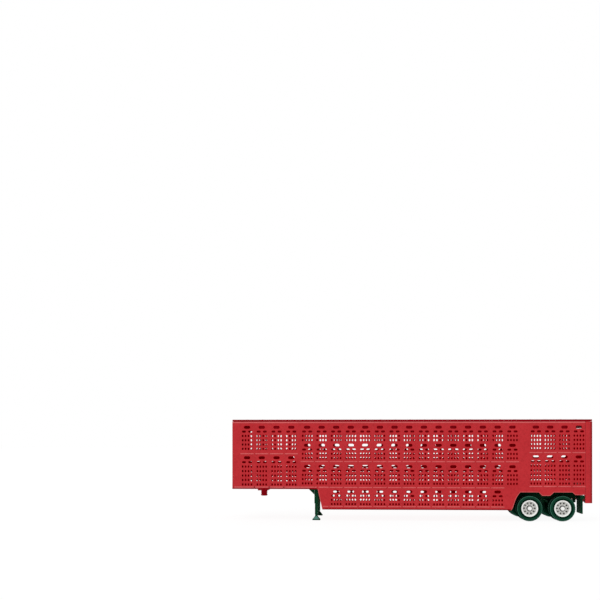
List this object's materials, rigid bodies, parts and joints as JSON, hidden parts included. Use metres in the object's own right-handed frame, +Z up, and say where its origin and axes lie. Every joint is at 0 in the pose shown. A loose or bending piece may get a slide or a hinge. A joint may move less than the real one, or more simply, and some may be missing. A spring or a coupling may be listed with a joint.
{
  "type": "model livestock trailer",
  "caption": "HO-scale plastic model of a pot-belly livestock semi-trailer with perforated side walls, a dropped belly, inner decks, landing gear, rear doors and a tandem bogie.",
  "frame": {"origin": "on the ground, below the middle of the whole model", "axes": "+X towards the rear doors (nose and kingpin at -X), +Y towards the trailer's right side, +Z up"},
  "size_m": [0.1682, 0.0298, 0.0478],
  "materials": {
    "red_plastic": "satin moulded plastic",
    "roof_plastic": "satin moulded plastic, deeper red",
    "green_plastic": "satin moulded plastic",
    "tyre_plastic": "matt moulded plastic",
    "silver_plastic": "silver-coloured plastic",
    "steel": "plain wire"
  },
  "bodies": {
    "trailer": {"belly_floor": "red_plastic", "belly_front_wall": "red_plastic", "belly_rear_wall": "red_plastic", "bogie_frame": "green_plastic", "front_axle": "steel", "front_left_spring": "green_plastic", "front_right_spring": "green_plastic", "front_wall": "red_plastic", "kingpin": "red_plastic", "kingpin_plate": "red_plastic", "landing_gear_mount": "green_plastic", "left_hinge_pin": "steel", "left_mudflap": "green_plastic", "left_outer_leg": "green_plastic", "left_roof_skirt": "roof_plastic", "left_side_wall": "red_plastic", "leg_brace": "green_plastic", "main_deck": "red_plastic", "middle_floor": "red_plastic", "mudflap_bar": "green_plastic", "nose_deck": "red_plastic", "nose_floor": "red_plastic", "rear_axle": "steel", "rear_bumper": "red_plastic", "rear_deck": "red_plastic", "rear_floor": "red_plastic", "rear_frame": "red_plastic", "rear_left_spring": "green_plastic", "rear_right_spring": "green_plastic", "right_hinge_pin": "steel", "right_mudflap": "green_plastic", "right_outer_leg": "green_plastic", "right_roof_skirt": "roof_plastic", "right_side_wall": "red_plastic", "roof": "roof_plastic"},
    "front_left_wheel": {"front_left_outer_tyre": "tyre_plastic", "front_left_inner_tyre": "tyre_plastic", "front_left_rim": "silver_plastic", "front_left_hub_cap": "silver_plastic"},
    "front_right_wheel": {"front_right_outer_tyre": "tyre_plastic", "front_right_inner_tyre": "tyre_plastic", "front_right_rim": "silver_plastic", "front_right_hub_cap": "silver_plastic"},
    "rear_left_wheel": {"rear_left_outer_tyre": "tyre_plastic", "rear_left_inner_tyre": "tyre_plastic", "rear_left_rim": "silver_plastic", "rear_left_hub_cap": "silver_plastic"},
    "rear_right_wheel": {"rear_right_outer_tyre": "tyre_plastic", "rear_right_inner_tyre": "tyre_plastic", "rear_right_rim": "silver_plastic", "rear_right_hub_cap": "silver_plastic"},
    "left_leg": {"left_inner_leg": "green_plastic", "left_foot": "green_plastic"},
    "left_rear_door": {"left_door": "red_plastic", "left_door_handle": "steel"},
    "right_leg": {"right_inner_leg": "green_plastic", "right_foot": "green_plastic"},
    "right_rear_door": {"right_door": "red_plastic", "right_door_handle": "steel"}
  },
  "joints": [
    {"name": "front_left_wheel_spin", "type": "hinge", "parent": "trailer", "child": "front_left_wheel", "pos_m": [0.0555, -0.011, 0.006], "axis": [0, 1, 0], "continuous": true},
    {"name": "front_right_wheel_spin", "type": "hinge", "parent": "trailer", "child": "front_right_wheel", "pos_m": [0.0555, 0.011, 0.006], "axis": [0, 1, 0], "continuous": true},
    {"name": "rear_left_wheel_spin", "type": "hinge", "parent": "trailer", "child": "rear_left_wheel", "pos_m": [0.0707, -0.011, 0.006], "axis": [0, 1, 0], "continuous": true},
    {"name": "rear_right_wheel_spin", "type": "hinge", "parent": "trailer", "child": "rear_right_wheel", "pos_m": [0.0707, 0.011, 0.006], "axis": [0, 1, 0], "continuous": true},
    {"name": "left_leg_slide", "type": "slide", "parent": "trailer", "child": "left_leg", "axis": [0, 0, 1], "range_m": [0, 0.0044]},
    {"name": "right_leg_slide", "type": "slide", "parent": "trailer", "child": "right_leg", "axis": [0, 0, 1], "range_m": [0, 0.0044]},
    {"name": "left_door_swing", "type": "hinge", "parent": "trailer", "child": "left_rear_door", "pos_m": [0.083, -0.01195, 0.0302], "axis": [0, 0, -1], "range_deg": [0, 90]},
    {"name": "right_door_swing", "type": "hinge", "parent": "trailer", "child": "right_rear_door", "pos_m": [0.083, 0.01195, 0.0302], "axis": [0, 0, 1], "range_deg": [0, 90]}
  ],
  "couplings": [
    {"joint": "right_leg_slide", "follows": "left_leg_slide", "ratio": 1}
  ]
}
